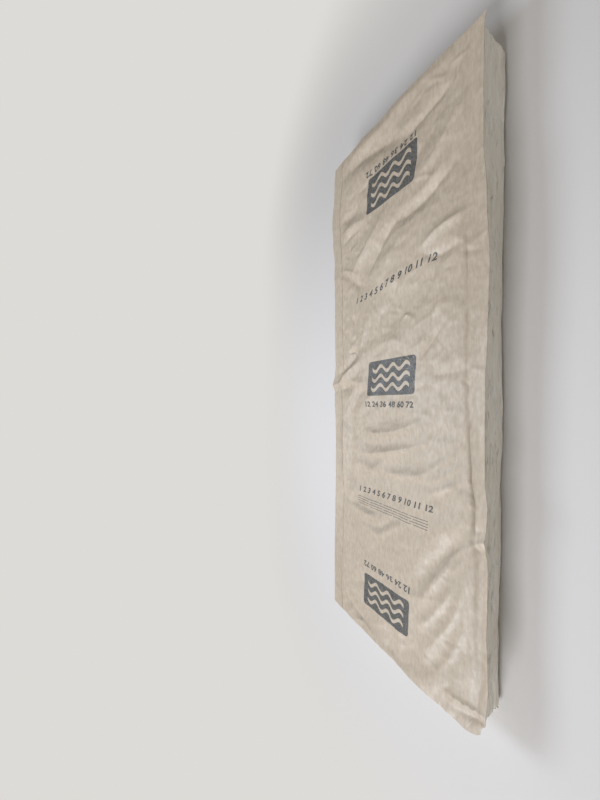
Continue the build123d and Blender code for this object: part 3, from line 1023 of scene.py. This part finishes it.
def flat_mesh(source):
    """Turns a curve or text object into a flat bmesh, with its front and back made one."""
    bpy.context.scene.collection.objects.link(source)
    bpy.context.view_layer.update()
    mesh = bpy.data.meshes.new_from_object(source.evaluated_get(bpy.context.evaluated_depsgraph_get()))
    bm = bmesh.new()
    bm.from_mesh(mesh)
    bpy.data.objects.remove(source)
    bpy.data.meshes.remove(mesh)
    bmesh.ops.remove_doubles(bm, verts=bm.verts, dist=MERGE)
    return bm


print(f"points less than {MERGE} mm apart become one")

# %% Cut a print along the paper's grid
GRID_X = 2 * (HALF_PAPER - FOLD_RADIUS) / across  # mm from line to line
GRID_Y = 2 * HALF_LENGTH / rows


def cut_by_grid(bm):
    """Cuts a flat print wherever a line of the paper's grid crosses it, into triangles."""
    xs = [(v.co.x + HALF_PAPER) / GRID_X for v in bm.verts]
    ys = [(v.co.y + HALF_LENGTH) / GRID_Y for v in bm.verts]
    planes = []
    for k in range(math.ceil(min(xs)), math.floor(max(xs)) + 1):
        planes.append((Vector(((k - across / 2) * GRID_X, 0, 0)), Vector((1, 0, 0))))
    for k in range(math.ceil(min(ys)), math.floor(max(ys)) + 1):
        planes.append((Vector((0, k * GRID_Y - HALF_LENGTH, 0)), Vector((0, 1, 0))))
    for plane, normal in planes:
        bmesh.ops.bisect_plane(bm, geom=[*bm.verts, *bm.edges, *bm.faces], dist=1e-4,
                               plane_co=plane, plane_no=normal)
    bmesh.ops.triangulate(bm, faces=bm.faces)


print(f"the grid's lines are {GRID_X:.2f} mm apart across and {GRID_Y:.2f} mm along")

# %% Lay a print on the paper
INK = 0.07  # mm, how far the ink's skin stands off the paper
INK_ROOT = 0.12  # mm, and how far its sides reach down into it
ABOVE_ALL = 500  # mm, a height from which to look down on the paper
squares = np.stack([top[:-1, :-1], top[1:, :-1], top[1:, 1:], top[:-1, 1:]], -1).reshape(-1, 4)
halves = squares[:, [0, 1, 2, 0, 2, 3]].reshape(-1, 3)
paper_top = BVHTree.FromPolygons(outer_side.reshape(-1, 3).tolist(), halves.tolist())
print(f"prints are laid on {len(halves)} triangles of paper")


def lay_print(name, bm, centre, turn=0.0, bend=None):
    """Turns a flat print, moves it to its place, cuts it along the paper's grid and lays it on."""
    bmesh.ops.rotate(bm, verts=bm.verts, matrix=Matrix.Rotation(turn, 3, "Z"))
    bmesh.ops.translate(bm, verts=bm.verts, vec=(centre[0], centre[1], 0))
    if bend:
        for v in bm.verts:
            v.co.y += bend(v.co.x)
    cut_by_grid(bm)
    bmesh.ops.recalc_face_normals(bm, faces=bm.faces)
    if bm.faces and sum(f.normal.z * f.calc_area() for f in bm.faces) < 0:
        bmesh.ops.reverse_faces(bm, faces=bm.faces)
    skirt = bmesh.ops.extrude_face_region(bm, geom=bm.faces[:], use_keep_orig=True)
    lifted = {v for v in skirt["geom"] if isinstance(v, bmesh.types.BMVert)}
    down = Vector((0, 0, -1))
    for v in bm.verts:
        hit = paper_top.ray_cast(Vector((v.co.x, v.co.y, ABOVE_ALL)), down)[0]
        v.co.z = hit.z + (INK if v in lifted else -INK_ROOT)
    bmesh.ops.recalc_face_normals(bm, faces=bm.faces)
    for v in bm.verts:
        v.co *= MM
    mesh = bpy.data.meshes.new(name)
    bm.to_mesh(mesh)
    bm.free()
    piece = bpy.data.objects.new(name, mesh)
    bpy.context.scene.collection.objects.link(piece)
    return piece


# %% The three blocks with their wavy bands
BLOCK_WIDE, BLOCK_TALL, BLOCK_ROUND = 134, 78, 7  # mm
LEAN = 0.12  # how far a block leans to the right for each mm of its height
WAVES = 3
WAVE_HEIGHT = 6.0  # mm, from a wave's middle to its crest
WAVE_LINE = 8.0  # mm, the thickness of a band
WAVE_GAP = 21.0  # mm, from one band to the next
WAVE_MARGIN = 13  # mm, from a band's end to the block's side


def rounded_box(width, height, radius, lean):
    """The outline of a box with round corners, leaning to the right as it rises."""
    outline = []
    for cx, cy, start in ((1, 1, 0), (-1, 1, 90), (-1, -1, 180), (1, -1, 270)):
        for turn in range(start, start + 91, 15):
            y = cy * (height / 2 - radius) + radius * math.sin(math.radians(turn))
            x = cx * (width / 2 - radius) + radius * math.cos(math.radians(turn))
            outline.append((x + lean * y, y))
    return outline


def wave_band(middle, lean):
    """The outline of one wavy band at a height on the block: its upper edge one way, its lower one back."""
    upper, lower = [], []
    for t in np.linspace(-0.5, 0.5, 61):
        y = middle + WAVE_HEIGHT * math.sin(2 * math.pi * WAVES * t)
        x = (BLOCK_WIDE - 2 * WAVE_MARGIN) * t + lean * y
        upper.append((x, y + WAVE_LINE / 2))
        lower.append((x, y - WAVE_LINE / 2))
    return [*upper, *reversed(lower)]


BLOCKS = [(3, 444, math.pi + 0.02), (3, 25, 0.03), (-11, -477, math.pi + 0.06)]  # x, y and turn
print_pieces = []
for number, (x, y, turn) in enumerate(BLOCKS, 1):
    outlines = [rounded_box(BLOCK_WIDE, BLOCK_TALL, BLOCK_ROUND, LEAN)]
    outlines += [wave_band(k * WAVE_GAP, LEAN) for k in (-1, 0, 1)]
    block = flat_mesh(flat_curve("block", outlines))
    print_pieces.append(lay_print(f"printed_block_{number}", block, (x, y), turn))
print(f"{len(print_pieces)} blocks, {sum(len(p.data.polygons) for p in print_pieces)} faces")

# %% The rows of numbers
WEIGHT = 0.62  # mm, how much bolder than the built-in font the digits are
for name, words, height, slant, centre, turn, bend in (
        ("row_top", "12 24 36 48 60 72", 12.5, 0.0, (3, 499), math.pi + 0.01, None),
        ("row_arch", "1 2 3 4 5 6 7 8 9 10 11 12", 14, 0.25, (3, 222), 0.0,
         lambda x: 0.1 * x + 4 * math.sin(x / 38)),
        ("row_middle", "12 24 36 48 60 72", 12.5, 0.0, (-4, -40), 0.02, None),
        ("row_low", "1 2 3 4 5 6 7 8 9 10 11 12", 13, 0.3, (7, -241), 0.07, None),
        ("row_bottom", "12 24 36 48 60 72", 12.5, 0.0, (-8, -409), math.pi + 0.05, None)):
    row = flat_mesh(flat_text(name, words, height, WEIGHT, slant))
    print_pieces.append(lay_print(f"printed_{name}", row, centre, turn, bend))
print(f"{len(print_pieces)} prints so far")

# %% The fine rules
RULES = 4
RULE_GAP = 5.6  # mm
HALF_RULE = 0.6  # mm, half of a rule's thickness
EVEN_DASHES = ((-100, -20), (-16, 52), (56, 97))  # where each dash starts and ends, in mm
ODD_DASHES = ((-100, -62), (-58, 8), (12, 60), (64, 97))
for k in range(RULES):
    dashes = [[(start, -HALF_RULE), (end, -HALF_RULE), (end, HALF_RULE), (start, HALF_RULE)]
              for start, end in (ODD_DASHES if k % 2 else EVEN_DASHES)]
    rule = flat_mesh(flat_curve("rule", dashes))
    print_pieces.append(lay_print(f"printed_rule_{k + 1}", rule, (2, -258 - RULE_GAP * k), 0.03))
print(f"{len(print_pieces)} prints, {sum(len(p.data.polygons) for p in print_pieces)} faces")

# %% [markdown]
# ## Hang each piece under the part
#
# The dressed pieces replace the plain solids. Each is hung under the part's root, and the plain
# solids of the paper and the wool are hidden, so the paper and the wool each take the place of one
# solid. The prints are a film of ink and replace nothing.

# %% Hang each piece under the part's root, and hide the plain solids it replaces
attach(facing, "root")
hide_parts("kraft_facing")
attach(wool, "root")
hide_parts("glass_wool_batt")
for piece in print_pieces:
    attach(piece, "root")
print(f"2 soft pieces and {len(print_pieces)} prints")

# %% [markdown]
# ## Kraft paper
#
# Kraft paper is unbleached wood pulp, dried over hot rolls that leave one side slightly glazed. Three
# things give it away. The pulp settles unevenly, so it looks cloudy at a scale of some millimetres. The
# belt draws the fibres out along the roll, so the clouds are longer than they are wide. And the glaze
# picks up a soft grey sheen of whatever light is near, broken by the finest wrinkles.

# %% The kraft paper's material
PULP_CLOUD = 6.0  # mm, the width of a cloud in the pulp
MACHINE_DRAW = 2.6  # how much longer a cloud is along the roll
FIBRE_STREAK = 1.8  # mm, the width of a streak; a real fibre is far too fine to show
SMALL_WRINKLE = 12.0  # mm, from one fine wrinkle to the next
BROAD_CLOUD = 130  # mm, slow changes of tone down the roll

kraft, tree = new_material("kraft_paper")
clouds = add(tree, "ShaderNodeTexNoise", Vector=scaled(tree, PULP_CLOUD, MACHINE_DRAW), Scale=1.0,
             Detail=4.0, Roughness=0.6)
streaks = add(tree, "ShaderNodeTexNoise", Vector=scaled(tree, FIBRE_STREAK, 9.0), Scale=1.0, Detail=3.0)
broad = add(tree, "ShaderNodeTexNoise", Vector=scaled(tree, BROAD_CLOUD, 1.3), Scale=1.0, Detail=2.0)
pulp = add(tree, "ShaderNodeMath", {"operation": "MULTIPLY"}, i0=clouds.outputs[0], i1=0.50)
pulp = add(tree, "ShaderNodeMath", {"operation": "MULTIPLY_ADD"}, i0=streaks.outputs[0], i1=0.20,
           i2=pulp.outputs[0])
pulp = add(tree, "ShaderNodeMath", {"operation": "MULTIPLY_ADD"}, i0=broad.outputs[0], i1=0.25,
           i2=pulp.outputs[0])
tone = add(tree, "ShaderNodeValToRGB", Fac=pulp.outputs[0])
tone.color_ramp.elements[0].position = 0.30
tone.color_ramp.elements[0].color = linear("9F927F")
tone.color_ramp.elements[1].position = 0.70
tone.color_ramp.elements[1].color = linear("C2B6A4")
wrinkles = add(tree, "ShaderNodeTexNoise", {"noise_type": "RIDGED_MULTIFRACTAL"},
               Vector=scaled(tree, SMALL_WRINKLE, 1.3), Scale=1.0, Detail=3.0, Roughness=0.5,
               Distortion=0.6)
grain = add(tree, "ShaderNodeTexNoise", Vector=scaled(tree, 1.1, 2.5), Scale=1.0, Detail=2.0)
bumpy = add(tree, "ShaderNodeMath", {"operation": "MULTIPLY_ADD"}, i0=grain.outputs[0], i1=0.10,
            i2=wrinkles.outputs[0])
bumps = add(tree, "ShaderNodeBump", Height=bumpy.outputs[0], Strength=0.55, Distance=0.35 * MM)
glaze = add(tree, "ShaderNodeMapRange", Value=clouds.outputs[0], From_Min=0.3, From_Max=0.7,
            To_Min=0.54, To_Max=0.46)
shader = add(tree, "ShaderNodeBsdfPrincipled", Base_Color=tone.outputs[0], Roughness=glaze.outputs[0],
             IOR=1.5, Normal=bumps.outputs[0])
add(tree, "ShaderNodeOutputMaterial", Surface=shader.outputs[0])
facing.data.materials.append(kraft)
print(f"{kraft.name}: clouds of {PULP_CLOUD} mm, drawn out {MACHINE_DRAW} times")

# %% [markdown]
# ## The ink
#
# The prints are flexographic: a rubber plate presses a thin, fast-drying ink of carbon black onto the
# paper. It dries matt and a little uneven, because the rough paper takes it only where the two touch.
# So the dark grey is broken by paler specks of a millimetre or two.

# %% The ink's material
ink, tree = new_material("flexographic_ink")
worn = add(tree, "ShaderNodeTexNoise", Vector=scaled(tree, 2.2, 1.6), Scale=1.0, Detail=5.0, Roughness=0.7)
tone = add(tree, "ShaderNodeValToRGB", Fac=worn.outputs[0])
tone.color_ramp.elements[0].position = 0.40
tone.color_ramp.elements[0].color = linear("3B3F41")
tone.color_ramp.elements[1].position = 0.74
tone.color_ramp.elements[1].color = linear("7C776E")
shader = add(tree, "ShaderNodeBsdfPrincipled", Base_Color=tone.outputs[0], Roughness=0.5)
add(tree, "ShaderNodeOutputMaterial", Surface=shader.outputs[0])
for piece in print_pieces:
    piece.data.materials.append(ink)
print(f"{ink.name} on {len(print_pieces)} prints")

# %% [markdown]
# ## Floor, light and camera
#
# The batt lies on a studio floor, painted matt in pale grey, that fades into an even backdrop, so
# nothing competes with it. One lamp stands past the lower end and rakes across the sheet, which draws
# the folds. A second hangs near the place that the glazed paper mirrors towards the camera, and gives
# the cool sheen in the middle. A weak third one opens the shadow on the right, and the room's own
# light fills the rest.

# %% The floor
FLOOR = 40.0  # metres from the middle to a side
FADE_FROM, FADE_TO = 0.10, 0.75  # metres from the batt, over which the floor turns into the backdrop
BACKDROP = linear("DDDBD7")
floor_corners = [(x * FLOOR, y * FLOOR, 0) for x, y in ((-1, -1), (1, -1), (1, 1), (-1, 1))]
floor_mesh = bpy.data.meshes.new("floor")
floor_mesh.from_pydata(floor_corners, [], [(0, 1, 2, 3)])
floor = bpy.data.objects.new("floor", floor_mesh)
bpy.context.scene.collection.objects.link(floor)
floor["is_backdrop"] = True
pale, tree = new_material("painted_floor")
place = add(tree, "ShaderNodeTexCoord")
folded = add(tree, "ShaderNodeVectorMath", {"operation": "ABSOLUTE"}, i0=place.outputs["Object"])
past = add(tree, "ShaderNodeVectorMath", {"operation": "SUBTRACT"}, i0=folded.outputs[0],
           i1=(HALF_PAPER * MM, HALF_LENGTH * MM, 0))
clear = add(tree, "ShaderNodeVectorMath", {"operation": "MAXIMUM"}, i0=past.outputs[0], i1=(0, 0, 0))
away = add(tree, "ShaderNodeVectorMath", {"operation": "LENGTH"}, i0=clear.outputs[0])
fade = add(tree, "ShaderNodeMapRange", {"interpolation_type": "SMOOTHSTEP"}, Value=away.outputs["Value"],
           From_Min=FADE_FROM, From_Max=FADE_TO)
path = add(tree, "ShaderNodeLightPath")
seen = add(tree, "ShaderNodeMath", {"operation": "MULTIPLY"}, i0=fade.outputs[0],
           i1=path.outputs["Is Camera Ray"])
paint = add(tree, "ShaderNodeBsdfPrincipled", Base_Color=linear("C9C7C4"), Roughness=0.9)
glow = add(tree, "ShaderNodeEmission", Color=BACKDROP)
mixed = add(tree, "ShaderNodeMixShader", i0=seen.outputs[0], i1=paint.outputs[0], i2=glow.outputs[0])
add(tree, "ShaderNodeOutputMaterial", Surface=mixed.outputs[0])
floor_mesh.materials.append(pale)
print(f"the floor fades out from {FADE_FROM} to {FADE_TO} m off the batt")

# %% The room's own light
world = bpy.data.worlds.new("studio")
bpy.context.scene.world = world
world.use_nodes = True
world.node_tree.nodes.clear()
path = add(world.node_tree, "ShaderNodeLightPath")
room = add(world.node_tree, "ShaderNodeBackground", Color=linear("F8F1E8"), Strength=0.32)
wall = add(world.node_tree, "ShaderNodeBackground", Color=BACKDROP)
sky = add(world.node_tree, "ShaderNodeMixShader", i0=path.outputs["Is Camera Ray"],
          i1=room.outputs[0], i2=wall.outputs[0])
add(world.node_tree, "ShaderNodeOutputWorld", Surface=sky.outputs[0])
print("the camera sees the backdrop, and everything else sees the room")

# %% The lamps
def soft_lamp(name, at, aim, size, watts, tint):
    """A square area lamp at a place, facing a point."""
    data = bpy.data.lights.new(name, "AREA")
    data.shape = "SQUARE"
    data.size = size
    data.energy = watts
    data.color = linear(tint)[:3]
    lamp = bpy.data.objects.new(name, data)
    lamp.visible_camera = False  # so that a view from below the lamp shows only the backdrop
    bpy.context.scene.collection.objects.link(lamp)
    lamp.location = at
    lamp.rotation_mode = "QUATERNION"
    lamp.rotation_quaternion = (Vector(aim) - Vector(at)).to_track_quat("-Z", "Y")
    print(f"{name}: {watts} W, {lamp.location.length:.1f} m off")


soft_lamp("key", (0.35, -4.4, 3.35), (0.0, 0.0, 0.09), 1.7, 262, "F6F8FF")
soft_lamp("sheen", (-0.48, -0.10, 1.15), (0.06, -0.04, 0.09), 0.45, 8.5, "E6EFFF")
soft_lamp("fill", (2.6, -0.4, 1.5), (0.0, 0.0, 0.06), 1.6, 3, "FFFFFF")

# %% The camera
CAMERA_AT = Vector((0.4677, -0.0090, 0.5871))  # metres
AIM_AT = Vector((-0.3942, -0.0313, 0.0889))
CAMERA_ROLL = -0.0056  # radians
LENS = 13.5  # mm, a very wide one
camera_data = bpy.data.cameras.new("camera")
camera_data.sensor_width = 36
camera_data.lens = LENS
camera = bpy.data.objects.new("camera", camera_data)
bpy.context.scene.collection.objects.link(camera)
forward = (AIM_AT - CAMERA_AT).normalized()
right = forward.cross(Vector((0, 1, 0))).normalized()
up = right.cross(forward)
right, up = (right * math.cos(CAMERA_ROLL) + up * math.sin(CAMERA_ROLL),
             up * math.cos(CAMERA_ROLL) - right * math.sin(CAMERA_ROLL))
camera.matrix_world = Matrix.Translation(CAMERA_AT) @ Matrix((right, up, -forward)).transposed().to_4x4()
bpy.context.scene.camera = camera
bpy.context.scene.view_settings.view_transform = "Standard"
print(f"the camera stands {CAMERA_AT.z:.2f} m above the floor")

# %% Compare the dressed part with the plain one, and finish
seen_low, seen_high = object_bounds()
past = max(a - b for a, b in (*zip(cad_low, seen_low), *zip(seen_high, cad_high)))
print(f"the dressed part reaches past the plain one by at most {past / MM:.1f} mm")
